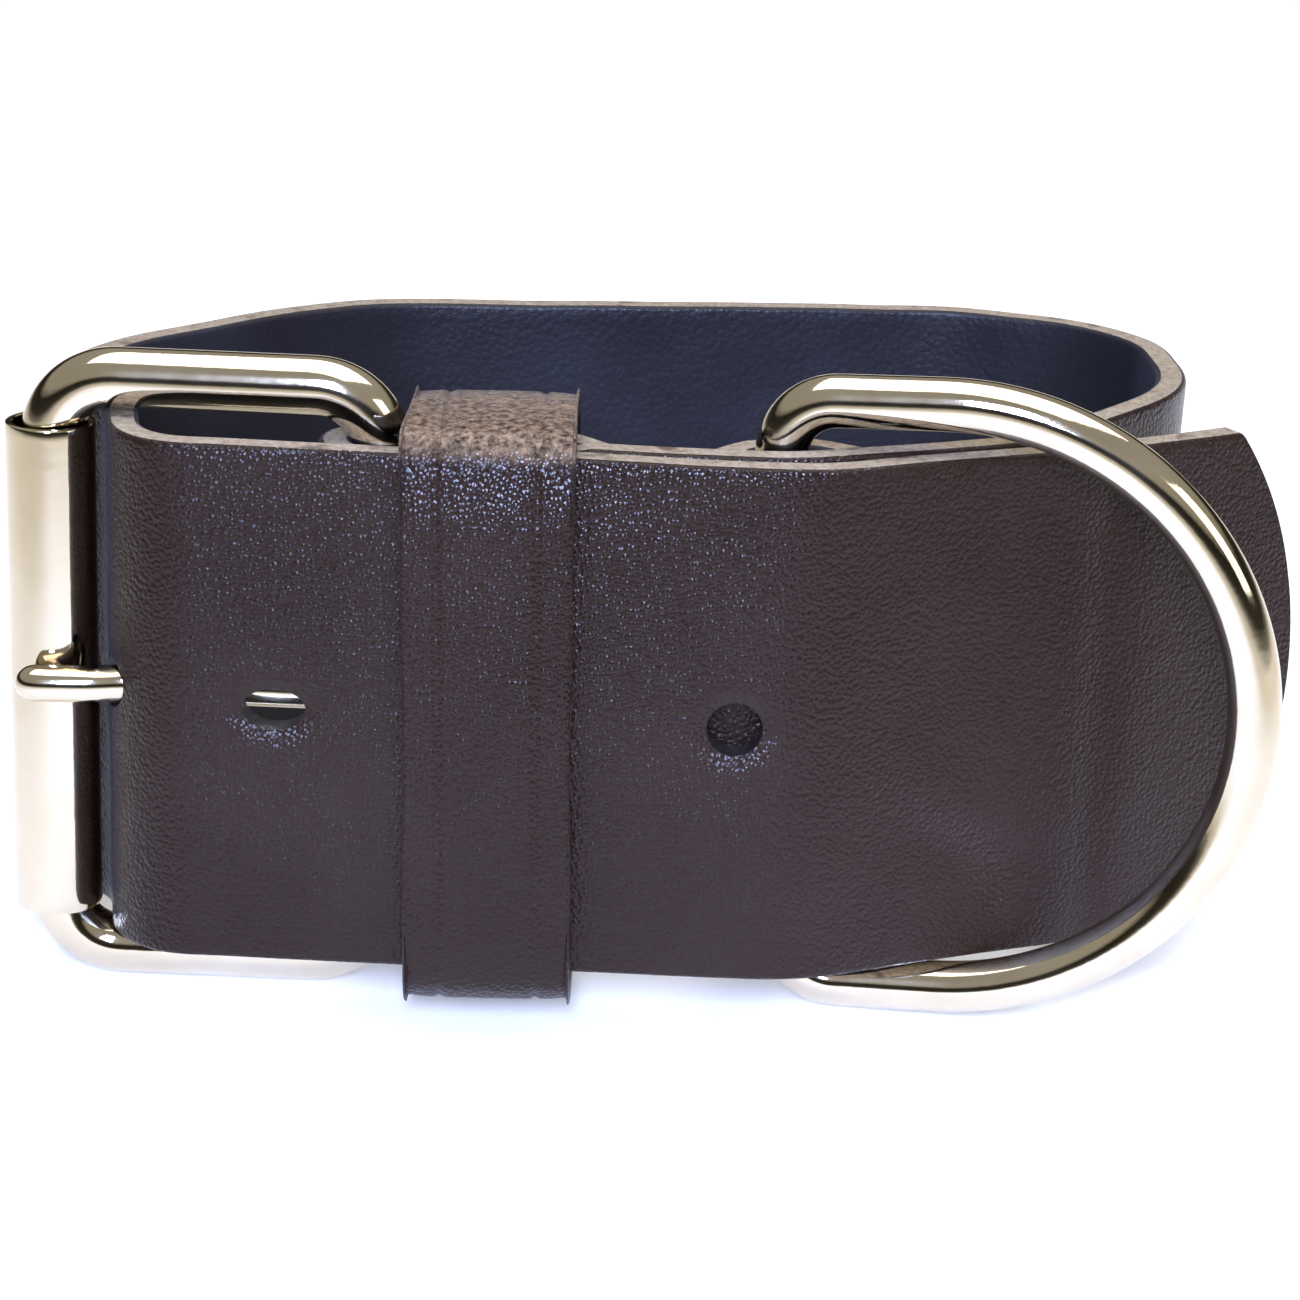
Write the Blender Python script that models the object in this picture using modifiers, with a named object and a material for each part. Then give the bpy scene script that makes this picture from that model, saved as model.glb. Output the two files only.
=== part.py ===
# Wide leather dog collar with a roller buckle, a keeper loop and a D-ring.
# Metres, +Z up. The buckled loop stands on its lower edge, with its front towards -Y.
# It leans back a little, because the buckle and the ring reach below the strap at the front.
# In the collar's own plan, x runs along the front and y is the depth behind the billet's face.

import math

import bpy
import bmesh
from mathutils import Matrix, Vector

mm = 0.001

# Strap
strap_width = 50.0 * mm
leather = 3.0 * mm
loop_width = 113.0 * mm            # outside to outside, left to right
loop_depth = 70.0 * mm             # outside to outside, front to back
edge_round = 0.4 * mm
front_slope = math.radians(24.0)   # how far the front turns back to the right of the ring
tab_reach = 54.1 * mm              # from the ring's bend to the tip
tab_curl = math.radians(7.0)
tab_curl_share = 0.60              # of the tab's reach
tip_radius = 39.5 * mm
clearance = 0.3 * mm               # between any two pieces that touch

# Holes of the billet
hole_diameter = 5.2 * mm
hole_pitch = 21.2 * mm
worn_hole_length = 5.9 * mm
worn_hole_height = 4.0 * mm
worn_hole_offset = 8.9 * mm        # to the left of the folded bar
hole_count = 3                     # along the front, the middle one is under the keeper

# Buckle
frame_wire = 5.6 * mm
frame_play = 1.1 * mm              # more than the strap's width, between the frame's bars
frame_pitch = 30.8 * mm            # from the roller's bar to the bar that the strap folds around
frame_corner = 6.2 * mm            # radius of the wire's middle line
roller_inset = 2.8 * mm            # from the loop's left side to the roller's middle
roller_end_play = 3.1 * mm         # the roller is this much shorter than the frame's opening
roller_bore = 6.9 * mm
roller_diameter = 8.3 * mm
roller_pass_gap = 0.9 * mm         # between the roller and the strap that passes behind it
prong_wire = 3.5 * mm
prong_overhang = 2.6 * mm          # past the roller's middle
prong_height = 0.4 * mm            # above the strap's middle
prong_wrap_start = math.radians(150.0)
prong_wrap_turn = math.radians(240.0)
prong_slot_length = 8.0 * mm       # to each side of the bar
prong_slot_play = 0.5 * mm

# Keeper
keeper_leather = 2.2 * mm
keeper_width = 15.5 * mm
keeper_offset = 10.8 * mm          # from the folded bar to the keeper's middle
keeper_corner = 2.3 * mm           # radius of the wall's middle line
keeper_tilt = math.radians(1.3)
keeper_top_play = 0.5 * mm         # above the strap
keeper_low_play = 1.5 * mm         # below it: the keeper has slid down

# D-ring
ring_wire = 5.0 * mm
ring_play = 3.0 * mm               # more than the strap's width, inside the ring
ring_reach = 44.1 * mm             # from the bar to the far end of the bow, wire middles
ring_corner = 5.2 * mm
ring_offset = 38.0 * mm            # from the folded bar to the ring's bar
ring_tilt = math.radians(3.0)
ring_rise = 0.0 * mm               # above the strap's middle
ring_rest_angle = math.radians(9.0)  # towards the front, where the bow lies against the tab

# Rivets that close the fold
rivet_shank = 2.6 * mm
rivet_head = 6.4 * mm
rivet_head_height = 0.8 * mm
rivet_spread = 27.0 * mm           # between the upper and the lower rivet
rivet_before_ring = 12.0 * mm
rivet_after_ring = 13.8 * mm
fold_end = 19.2 * mm               # past the ring's bend
fold_trim = 1.4 * mm               # the folded end is this much narrower at each edge

# Corners of the loop: shares of its width from the left and of its depth from the front,
# and the bend there as a share of the depth
loop_corners = (
    # name           across  back    bend
    ("left_back",    0.012,  0.50,   0.34),
    ("back_left",    0.205,  0.862,  0.42),
    ("back_right",   0.800,  1.000,  0.30),
    ("right_back",   0.985,  0.900,  0.22),
    ("right",        1.000,  0.530,  0.36),
)
shoulder_run = 24.0 * mm           # the strap follows the tab this far past the ring's bend
shoulder_bend = 20.0 * mm
knee_bend = 7.0 * mm
pass_angle = math.radians(100.0)   # the strap's direction between the knee and the roller
rise_angle = math.radians(150.0)   # its direction behind the roller

# Heights inside the frame and the ring
frame_inner_height = strap_width + frame_play
ring_inner_height = strap_width + ring_play
roller_length = frame_inner_height - roller_end_play

# Depths behind the billet's face, and places along the front
billet_middle = leather / 2
stand_middle = leather + prong_wire + clearance - leather / 2
heel_depth = stand_middle + leather / 2 + clearance + frame_wire / 2
bend_cut = shoulder_bend * (1 / math.cos(front_slope / 2) - 1)
ring_depth = stand_middle + leather / 2 + bend_cut + clearance + ring_wire / 2
fold_middle = heel_depth + frame_wire / 2 + clearance + leather / 2
close_middle = stand_middle + leather + clearance
ring_fold_middle = ring_depth + ring_wire / 2 + clearance + leather / 2
left = -loop_width / 2
roller_x = left + roller_inset
heel_x = roller_x + frame_pitch
ring_x = heel_x + ring_offset
bend_x = ring_x + ring_depth * math.tan(front_slope / 2)
keeper_x = heel_x + keeper_offset
middle_height = strap_width / 2
prong_depth = leather + clearance + prong_wire / 2


def fresh_scene():
    for thing in list(bpy.data.objects):
        bpy.data.objects.remove(thing, do_unlink=True)


def new_collection(name):
    collection = bpy.data.collections.new(name)
    bpy.context.scene.collection.children.link(collection)
    return collection


def finish_material(name, colour, roughness, metallic):
    material = bpy.data.materials.new(name)
    material.use_nodes = True
    shader = material.node_tree.nodes["Principled BSDF"]
    shader.inputs["Base Color"].default_value = (*colour, 1.0)
    shader.inputs["Roughness"].default_value = roughness
    shader.inputs["Metallic"].default_value = metallic
    return material


def direction(angle):
    return Vector((math.cos(angle), math.sin(angle)))


def lines_meet(point_a, angle_a, point_b, angle_b):
    """Where two lines of the plan cross, each given by a point and a direction."""
    along_a = direction(angle_a)
    along_b = direction(angle_b)
    across = along_a.cross(along_b)
    return point_a + along_a * ((point_b - point_a).cross(along_b) / across)


def rounded_path(corners, step=math.radians(11.0)):
    """Points along straight runs with an arc at each (point, radius) corner but the ends."""
    points = [corners[0][0]]
    for (before, _), (corner, radius), (after, _) in zip(corners, corners[1:], corners[2:]):
        if not radius:
            points.append(corner)
            continue
        back = (before - corner).normalized()
        on = (after - corner).normalized()
        half = back.angle(on) / 2
        room = 0.49 * min((before - corner).length, (after - corner).length)
        run = min(radius / math.tan(half), room)
        bend = run * math.tan(half)
        centre = corner + (back + on).normalized() * (bend / math.sin(half))
        start = corner + back * run - centre
        turn = start.angle_signed(corner + on * run - centre)
        steps = max(2, math.ceil(abs(turn) / step))
        for index in range(steps + 1):
            points.append(centre + Matrix.Rotation(-turn * index / steps, 2) @ start)
    points.append(corners[-1][0])
    return points


def on_front(x, depth):
    return Vector((x, depth))


def on_tab(run, depth):
    """A point along the sloping right part, measured from the bend in the billet's face."""
    along = direction(front_slope)
    return Vector((bend_x, 0.0)) + along * run + Vector((-along.y, along.x)) * depth


def at_bend(depth):
    return Vector((bend_x - depth * math.tan(front_slope / 2), depth))


def fold_trim_start():
    return on_front(keeper_x + keeper_width / 2, stand_middle)


def strap_route():
    """The strap's middle line in plan, from the billet's tip round the loop to the fold's end."""
    roller = Vector((roller_x, heel_depth))
    around = roller_diameter / 2 + roller_pass_gap + leather / 2
    beside = roller + around * Vector((math.sin(pass_angle), -math.cos(pass_angle)))
    behind = roller + around * Vector((math.sin(rise_angle), -math.cos(rise_angle)))
    side_x = left + leather / 2
    curl = on_tab(tab_reach * tab_curl_share, billet_middle)
    tip = curl + direction(front_slope + tab_curl) * (tab_reach * (1 - tab_curl_share))
    route = [
        (tip, 0.0),
        (curl, tab_reach),
        (at_bend(billet_middle), shoulder_bend + leather),
        (lines_meet(at_bend(billet_middle), 0.0, beside, pass_angle), knee_bend),
        (lines_meet(beside, pass_angle, behind, rise_angle), knee_bend),
        (lines_meet(behind, rise_angle, on_front(side_x, 0.0), math.pi / 2), knee_bend),
    ]
    for _, across, back, bend in loop_corners:
        place = Vector((side_x + across * (loop_width - leather),
                        leather / 2 + back * (loop_depth - leather)))
        route.append((place, bend * loop_depth))
    heel_wrap = frame_wire / 2 + clearance + leather / 2
    dip_left = ring_x - rivet_before_ring
    flat = rivet_head / 2 + 2 * clearance
    ramp = fold_middle - close_middle
    fold_bend = leather
    ring_run = bend_x - ring_x
    ring_lean = strap_width / 2 * math.sin(ring_tilt)
    route += [
        (on_tab(shoulder_run, stand_middle), shoulder_bend),
        (at_bend(stand_middle), shoulder_bend),
        (fold_trim_start(), 0.0),
        (on_front(heel_x - heel_wrap, stand_middle), heel_wrap),
        (on_front(heel_x - heel_wrap, fold_middle), heel_wrap),
        (on_front(dip_left - flat - ramp, fold_middle), fold_bend),
        (on_front(dip_left - flat, close_middle), fold_bend),
        (on_front(dip_left + flat, close_middle), fold_bend),
        (on_front(ring_x - ring_wire / 2 - ring_lean, ring_fold_middle), fold_bend),
        (on_tab(ring_run + ring_wire / 2 + ring_lean, ring_fold_middle), fold_bend),
        (on_tab(rivet_after_ring - flat, close_middle), fold_bend),
        (on_tab(fold_end, close_middle), 0.0),
    ]
    return route


def curve_from(name, points, cyclic, collection, radii=None):
    data = bpy.data.curves.new(name, "CURVE")
    data.dimensions = "3D"
    spline = data.splines.new("POLY")
    spline.points.add(len(points) - 1)
    for index, point in enumerate(points):
        spline.points[index].co = (*point, 1.0)
        if radii:
            spline.points[index].radius = radii[index]
    spline.use_cyclic_u = cyclic
    thing = bpy.data.objects.new(name, data)
    collection.objects.link(thing)
    return thing


def as_mesh(thing, collection):
    """The curve object's evaluated shape as a mesh object with welded caps."""
    bpy.context.view_layer.update()
    shape = thing.evaluated_get(bpy.context.evaluated_depsgraph_get())
    mesh = bpy.data.meshes.new_from_object(shape)
    name = thing.name
    place = thing.matrix_world.copy()
    bpy.data.objects.remove(thing)
    welded = bmesh.new()
    welded.from_mesh(mesh)
    bmesh.ops.remove_doubles(welded, verts=welded.verts, dist=0.00001)
    welded.to_mesh(mesh)
    welded.free()
    mesh.name = name
    result = bpy.data.objects.new(name, mesh)
    result.matrix_world = place
    collection.objects.link(result)
    return result


def ribbon(name, points, width, thickness, cyclic, collection, shares=None):
    """A wall of the given width (along z) and thickness, standing on a route in the xy plane."""
    thing = curve_from(name, [(*point, 0.0) for point in points], cyclic, collection, shares)
    thing.data.dimensions = "2D"
    thing.data.fill_mode = "NONE"
    thing.data.extrude = width / 2
    wall = as_mesh(thing, collection)
    solid = wall.modifiers.new("Thickness", "SOLIDIFY")
    solid.thickness = thickness
    solid.offset = 0.0
    solid.use_even_offset = True
    edge = wall.modifiers.new("Edges", "BEVEL")
    edge.width = edge_round
    edge.segments = 1
    edge.limit_method = "ANGLE"
    edge.angle_limit = math.radians(60.0)
    return wall


def wire(name, points, diameter, cyclic, collection, radii=None):
    thing = curve_from(name, points, cyclic, collection, radii)
    thing.data.bevel_depth = diameter / 2
    thing.data.bevel_resolution = 4
    thing.data.use_fill_caps = not cyclic
    shape = as_mesh(thing, collection)
    shape.data.shade_smooth()
    return shape


def keep_as_cutter(thing, cutters):
    thing.display_type = "WIRE"
    thing.hide_render = True
    for home in list(thing.users_collection):
        home.objects.unlink(thing)
    cutters.objects.link(thing)


def cut(target, cutter):
    boolean = target.modifiers.new(cutter.name, "BOOLEAN")
    boolean.operation = "DIFFERENCE"
    boolean.solver = "EXACT"
    boolean.object = cutter


def round_cutter(name, size_x, size_z, length, place, angle, cutters):
    """A straight round or oval punch through the plan point, at right angles to the direction."""
    mesh = bpy.data.meshes.new(name)
    shape = bmesh.new()
    bmesh.ops.create_cone(shape, cap_ends=True, segments=20, radius1=0.5, radius2=0.5, depth=1.0)
    turn = Matrix.Rotation(angle, 4, "Z") @ Matrix.Rotation(math.pi / 2, 4, "X")
    size = Matrix.Diagonal((size_x, size_z, length, 1.0))
    bmesh.ops.transform(shape, matrix=turn @ size, verts=shape.verts)
    shape.to_mesh(mesh)
    shape.free()
    thing = bpy.data.objects.new(name, mesh)
    thing.location = place
    keep_as_cutter(thing, cutters)
    return thing


def box_cutter(name, low, high, cutters):
    mesh = bpy.data.meshes.new(name)
    shape = bmesh.new()
    bmesh.ops.create_cube(shape, size=1.0)
    size = Vector(high) - Vector(low)
    bmesh.ops.transform(shape, matrix=Matrix.Diagonal((*size, 1.0)), verts=shape.verts)
    shape.to_mesh(mesh)
    shape.free()
    thing = bpy.data.objects.new(name, mesh)
    thing.location = (Vector(low) + Vector(high)) / 2
    keep_as_cutter(thing, cutters)
    return thing


def turned(name, profile, collection, steps=14):
    """A solid turned about its own z axis from (radius, z) pairs that run top to bottom."""
    mesh = bpy.data.meshes.new(name)
    mesh.from_pydata([(radius, 0.0, z) for radius, z in profile],
                     [(index, index + 1) for index in range(len(profile) - 1)], [])
    thing = bpy.data.objects.new(name, mesh)
    collection.objects.link(thing)
    spin = thing.modifiers.new("Turn", "SCREW")
    spin.steps = steps
    spin.render_steps = steps
    spin.use_merge_vertices = True
    spin.merge_threshold = 0.00001
    spin.use_smooth_shade = True
    return thing


def tip_cutter(route, cutters):
    """The block beyond the tip's arc."""
    tip = route[0][0]
    angle = front_slope + tab_curl
    span = strap_width / 2 + 2 * leather
    half_turn = math.asin(span / tip_radius)
    arc = []
    steps = 14
    for index in range(steps + 1):
        turn = half_turn * (2 * index / steps - 1)
        arc.append((tip_radius * (math.cos(turn) - 1), tip_radius * math.sin(turn), 0.0))
    outline = arc + [(leather, span, 0.0), (leather, -span, 0.0)]
    thing = curve_from("tip_cutter", outline, True, cutters)
    thing.data.dimensions = "2D"
    thing.data.fill_mode = "BOTH"
    thing.data.extrude = 2 * leather
    block = as_mesh(thing, cutters)
    upright = Matrix.Rotation(angle, 4, "Z") @ Matrix.Rotation(math.pi / 2, 4, "X")
    block.matrix_world = Matrix.Translation((tip.x, tip.y, middle_height)) @ upright
    keep_as_cutter(block, cutters)
    return block


def billet_hole_places():
    """Middles of the holes along the billet, from the worn one beside the buckle to the right."""
    worn_x = heel_x - worn_hole_offset
    places = []
    for index in range(hole_count):
        run = worn_x + index * hole_pitch - bend_x
        if run < 0:
            places.append((on_front(worn_x + index * hole_pitch, billet_middle), 0.0))
        else:
            places.append((on_tab(run, billet_middle), front_slope))
    return places


def rivet_places():
    """Plan point on the fold's outer layer, direction of the layer, for each rivet station."""
    outer = stand_middle - leather / 2
    return ((on_front(ring_x - rivet_before_ring, outer), 0.0),
            (on_tab(rivet_after_ring, outer), front_slope))


def rivet_matrix(place, angle, height):
    turn = Matrix.Rotation(angle, 4, "Z") @ Matrix.Rotation(math.pi / 2, 4, "X")
    return Matrix.Translation((place.x, place.y, height)) @ turn


def rivet_profile():
    """Flush outer head, shank and inner dome, with z = 0 on the fold's outer face."""
    head = rivet_head / 2
    shank = rivet_shank / 2
    back = -2 * leather - 2 * clearance
    return [
        (0.0, 0.0), (head, 0.0), (head, -rivet_head_height), (shank, -rivet_head_height),
        (shank, back), (head, back), (0.7 * head, back - rivet_head_height),
        (0.0, back - rivet_head_height),
    ]


def rivet_seat_profile():
    """The recess and the hole that a rivet sits in."""
    head = rivet_head / 2 + clearance
    shank = rivet_shank / 2 + clearance
    seat = -rivet_head_height - clearance
    back = -3 * leather
    return [(0.0, clearance), (head, clearance), (head, seat), (shank, seat),
            (shank, back), (0.0, back)]


def fold_shares(points):
    """Each route point's share of the strap's width: the folded end is trimmed narrower."""
    fold_start = points.index(fold_trim_start())
    narrow = 1 - 2 * fold_trim / strap_width
    return [narrow if index > fold_start else 1.0 for index in range(len(points))]


def build_strap(parts, cutters, finish):
    route = strap_route()
    points = rounded_path(route)
    strap = ribbon("strap", points, strap_width, leather, False, parts, fold_shares(points))
    strap.location.z = middle_height
    strap.data.materials.append(finish)
    cut(strap, tip_cutter(route, cutters))
    for index, (place, angle) in enumerate(billet_hole_places()):
        worn = index == 0
        cut(strap, round_cutter(f"hole_cutter_{index + 1}",
                                worn_hole_length if worn else hole_diameter,
                                worn_hole_height if worn else hole_diameter,
                                leather + 2 * clearance,
                                (place.x, place.y, middle_height), angle, cutters))
    prong_hole_depth = prong_depth + (hole_diameter - prong_wire) / 2 - clearance
    hole_run = knee_bend + 2 * leather
    prong_hole_x = roller_x + roller_diameter / 2 + hole_run / 2
    cut(strap, round_cutter("prong_hole_cutter", hole_diameter, hole_diameter, hole_run,
                            (prong_hole_x, prong_hole_depth, middle_height + prong_height),
                            math.pi / 2, cutters))
    slot = prong_wire / 2 + prong_slot_play
    cut(strap, box_cutter("prong_slot_cutter",
                          (heel_x - 2 * prong_slot_length, leather + clearance / 2,
                           middle_height + prong_height - slot),
                          (heel_x + prong_slot_length, fold_middle + leather,
                           middle_height + prong_height + slot), cutters))
    for index, (place, angle) in enumerate(rivet_places()):
        for side, height in (("low", -rivet_spread / 2), ("high", rivet_spread / 2)):
            seat = turned(f"rivet_cutter_{index + 1}_{side}", rivet_seat_profile(), cutters)
            seat.matrix_world = rivet_matrix(place, angle, middle_height + height)
            keep_as_cutter(seat, cutters)
            cut(strap, seat)
    return strap


def build_keeper(parts, finish):
    front = -clearance - keeper_leather / 2
    back = fold_middle + leather / 2 + clearance + keeper_leather / 2
    low = -keeper_low_play - keeper_leather / 2
    high = strap_width + keeper_top_play + keeper_leather / 2
    middle = Vector(((front + back) / 2, (low + high) / 2))
    half = Vector((back - front, high - low)) / 2
    start = Vector((0.0, -half.y))
    outline = [(start, 0.0)]
    for across, up in ((-1, -1), (-1, 1), (1, 1), (1, -1)):
        outline.append((Vector((across * half.x, up * half.y)), keeper_corner))
    outline.append((start, 0.0))
    points = rounded_path(outline, math.radians(22.5))[:-1]
    keeper = ribbon("keeper", points, keeper_width, keeper_leather, True, parts)
    # The ribbon's route turns from its xy plane into the collar's depth and height
    upright = Matrix(((0, 0, 1, 0), (1, 0, 0, 0), (0, 1, 0, 0), (0, 0, 0, 1)))
    lean = Matrix.Rotation(-keeper_tilt, 4, "Y")
    keeper.matrix_world = Matrix.Translation((keeper_x, middle.x, middle.y)) @ lean @ upright
    keeper.data.materials.append(finish)
    return keeper


def build_frame(parts, finish):
    half = (frame_inner_height + frame_wire) / 2
    start = Vector((0.5 * frame_pitch, -half))
    outline = [(start, 0.0)]
    for across, up in ((0, -1), (0, 1), (1, 1), (1, -1)):
        outline.append((Vector((across * frame_pitch, up * half)), frame_corner))
    outline.append((start, 0.0))
    points = [(point.x, 0.0, point.y) for point in rounded_path(outline)[:-1]]
    frame = wire("buckle_frame", points, frame_wire, True, parts)
    frame.location = (roller_x, heel_depth, middle_height)
    frame.data.materials.append(finish)
    return frame


def build_roller(parts, finish):
    outer = roller_diameter / 2
    bore = roller_bore / 2
    half = roller_length / 2
    lip = 0.2 * mm
    profile = [
        (bore, half), (outer - lip, half), (outer, half - lip),
        (outer, lip - half), (outer - lip, -half), (bore, -half), (bore, half),
    ]
    roller = turned("buckle_roller", profile, parts, steps=28)
    roller.location = (roller_x, heel_depth, middle_height)
    roller.data.materials.append(finish)
    return roller


def build_prong(parts, finish):
    """Bent wire: round the folded bar, under the billet, through its hole and over the roller."""
    wrap = frame_wire / 2 + clearance + prong_wire / 2
    rest_depth = heel_depth - roller_diameter / 2 - clearance - prong_wire / 2
    tip_x = roller_x - prong_overhang
    roller_side = roller_x + roller_diameter / 2
    points = []
    steps = 16
    for index in range(steps + 1):
        angle = prong_wrap_start - prong_wrap_turn * index / steps
        points.append((heel_x + wrap * math.cos(angle), heel_depth + wrap * math.sin(angle), 0.0))
    rise = rest_depth - prong_depth
    points += [
        (roller_side + 2 * leather, prong_depth, 0.0),
        (roller_side + leather, prong_depth + 0.2 * rise, 0.0),
        (roller_side, prong_depth + 0.8 * rise, 0.0),
        (roller_x, rest_depth, 0.0),
    ]
    radii = [1.0] * len(points)
    for share, radius in ((0.5, 0.97), (0.8, 0.86), (0.95, 0.62), (1.0, 0.35)):
        points.append((roller_x + (tip_x - roller_x) * share, rest_depth, 0.0))
        radii.append(radius)
    prong = wire("buckle_prong", points, prong_wire, False, parts, radii)
    prong.location.z = middle_height + prong_height
    prong.data.materials.append(finish)
    return prong


def build_ring(parts, finish):
    half = (ring_inner_height + ring_wire) / 2
    centre = ring_reach - half
    start = Vector((0.0, 0.0))
    outline = [(start, 0.0), (Vector((0.0, half)), ring_corner)]
    bow = []
    steps = 22
    for index in range(steps + 1):
        turn = math.pi / 2 - math.pi * index / steps
        bow.append(Vector((centre + half * math.cos(turn), half * math.sin(turn))))
    lower = [(Vector((0.0, -half)), ring_corner), (start, 0.0)]
    upper_corner = rounded_path(outline + [(bow[0], 0.0)])[1:-1]
    lower_corner = rounded_path([(bow[-1], 0.0)] + lower)[1:-1]
    plan = [start] + upper_corner + bow + lower_corner
    points = [(point.x, 0.0, point.y) for point in plan]
    ring = wire("d_ring", points, ring_wire, True, parts)
    ring.data.materials.append(finish)
    return ring


def build_rivets(parts, finish):
    rivets = []
    for index, (place, angle) in enumerate(rivet_places()):
        for side, height in (("low", -rivet_spread / 2), ("high", rivet_spread / 2)):
            name = f"rivet_{'left' if index == 0 else 'right'}_{side}"
            rivet = turned(name, rivet_profile(), parts)
            rivet.matrix_world = rivet_matrix(place, angle, middle_height + height)
            rivet.data.materials.append(finish)
            rivets.append(rivet)
    return rivets


def empty_at(name, place, collection):
    point = bpy.data.objects.new(name, None)
    point.empty_display_size = 10 * mm
    point.matrix_world = place
    collection.objects.link(point)
    return point


def hang_on(child, parent):
    child.parent = parent
    child.matrix_parent_inverse = Matrix.Identity(4)


def stand_on_floor(collar, parts):
    """Lean the collar back onto its back edge, then centre its box on the origin."""
    front_drop = frame_wire + (frame_inner_height - strap_width) / 2
    collar.rotation_euler.x = -math.atan2(front_drop, loop_depth - leather - heel_depth)
    bpy.context.view_layer.update()
    graph = bpy.context.evaluated_depsgraph_get()
    corners = []
    for thing in parts.objects:
        if thing.type == "MESH":
            shape = thing.evaluated_get(graph)
            corners += [shape.matrix_world @ vertex.co for vertex in shape.data.vertices]
    low = Vector([min(corner[axis] for corner in corners) for axis in range(3)])
    high = Vector([max(corner[axis] for corner in corners) for axis in range(3)])
    collar.location = (-(low.x + high.x) / 2, -(low.y + high.y) / 2, -low.z)


def build_collar():
    fresh_scene()
    parts = new_collection("dog_collar")
    cutters = new_collection("cutters")
    grain = finish_material("black_leather", (0.030, 0.025, 0.027), 0.42, 0.0)
    nickel = finish_material("polished_nickel", (0.78, 0.74, 0.66), 0.12, 1.0)
    steel = finish_material("rivet_nickel", (0.62, 0.60, 0.56), 0.28, 1.0)

    collar = empty_at("collar_frame", Matrix.Identity(4), parts)
    ring_axis = Matrix.Translation((ring_x, ring_depth, middle_height + ring_rise))
    ring_axis = ring_axis @ Matrix.Rotation(-ring_tilt, 4, "Y")
    ring_axis = ring_axis @ Matrix.Rotation(-ring_rest_angle, 4, "Z")
    ring_pivot = empty_at("ring_pivot", ring_axis, parts)

    strap = build_strap(parts, cutters, grain)
    fixed = [strap, build_keeper(parts, grain), build_frame(parts, nickel),
             build_prong(parts, nickel), build_roller(parts, nickel)]
    fixed += build_rivets(parts, steel)
    hang_on(build_ring(parts, nickel), ring_pivot)
    for thing in fixed + [ring_pivot] + list(cutters.objects):
        hang_on(thing, collar)
    stand_on_floor(collar, parts)


build_collar()
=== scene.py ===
import math

import bmesh
import bpy
import numpy as np
from mathutils import Matrix, Vector


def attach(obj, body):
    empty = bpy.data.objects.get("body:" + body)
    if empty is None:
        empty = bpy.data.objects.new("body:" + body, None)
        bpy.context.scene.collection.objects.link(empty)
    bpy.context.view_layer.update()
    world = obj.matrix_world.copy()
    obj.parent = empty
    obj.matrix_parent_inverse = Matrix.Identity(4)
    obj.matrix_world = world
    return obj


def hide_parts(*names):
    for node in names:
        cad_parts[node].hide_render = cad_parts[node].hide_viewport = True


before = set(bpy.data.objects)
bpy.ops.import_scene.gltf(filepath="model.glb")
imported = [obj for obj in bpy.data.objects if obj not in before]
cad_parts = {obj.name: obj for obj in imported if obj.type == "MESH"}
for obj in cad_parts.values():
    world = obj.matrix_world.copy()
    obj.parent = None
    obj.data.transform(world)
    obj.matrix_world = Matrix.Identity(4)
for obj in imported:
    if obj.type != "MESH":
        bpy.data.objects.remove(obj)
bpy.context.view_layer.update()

mm = 0.001

# The collar's own plan, in millimetres: x runs along the front, y is the depth behind the
# billet's face and z the height above the strap's lower edge. The collar leans back on the floor.
collarPlace = (Matrix.Translation((-0.003772, -0.035946, 0.007402))
               @ Matrix.Rotation(math.radians(-6.147389), 4, "X"))
toWorld = collarPlace @ Matrix.Scale(mm, 4)

strap = {
    "width": 50.0, "wall": 3.0, "loopWidth": 113.0, "loopDepth": 70.0, "edgeRound": 0.45,
    "frontSlope": 24.0, "tabReach": 54.1, "tabCurl": 7.0, "tabCurlShare": 0.60, "tipRadius": 39.5,
    "clearance": 0.3, "shoulderRun": 24.0, "shoulderBend": 20.0, "kneeBend": 7.0,
    "passAngle": 100.0, "riseAngle": 150.0, "foldTrim": 1.4, "foldEnd": 19.2,
    "holeWidth": 5.2, "wornLength": 5.9, "wornHeight": 4.0,
    "holes": (-31.8, -10.6, 10.6), "rivetBefore": 12.0, "rivetAfter": 13.8, "rivetSpread": 27.0,
    "creaseInset": 5.6, "creaseDepth": 0.05, "dentRun": 23.0, "dentDepth": 0.45, "dentWidth": 2.3,
}
buckle = {"wire": 5.6, "innerHeight": 51.1, "pitch": 30.8, "corner": 6.2, "inset": 2.8,
          "rollerLength": 48.0, "rollerBore": 6.9, "rollerDiameter": 8.3, "passGap": 0.9,
          "prongWire": 3.5, "prongOverhang": 2.6, "prongHeight": 0.4, "slotLength": 8.0,
          "slotPlay": 0.5}
keeperLoop = {"wall": 2.2, "width": 15.5, "offset": 10.8, "corner": 2.3, "tilt": 1.3, "topPlay": 0.5, "lowPlay": 1.5,
              "grooveAt": 4.5, "grooveDepth": 0.22, "grooveWidth": 0.34, "bendReach": 8.0, "bendThin": 0.8}
ring = {"wire": 5.0, "innerHeight": 53.0, "reach": 44.1, "corner": 5.2, "offset": 38.0,
        "tilt": 3.0, "rise": 0.0, "restAngle": 9.0}
rivet = {"shank": 2.6, "head": 6.4, "headHeight": 0.8}

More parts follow.
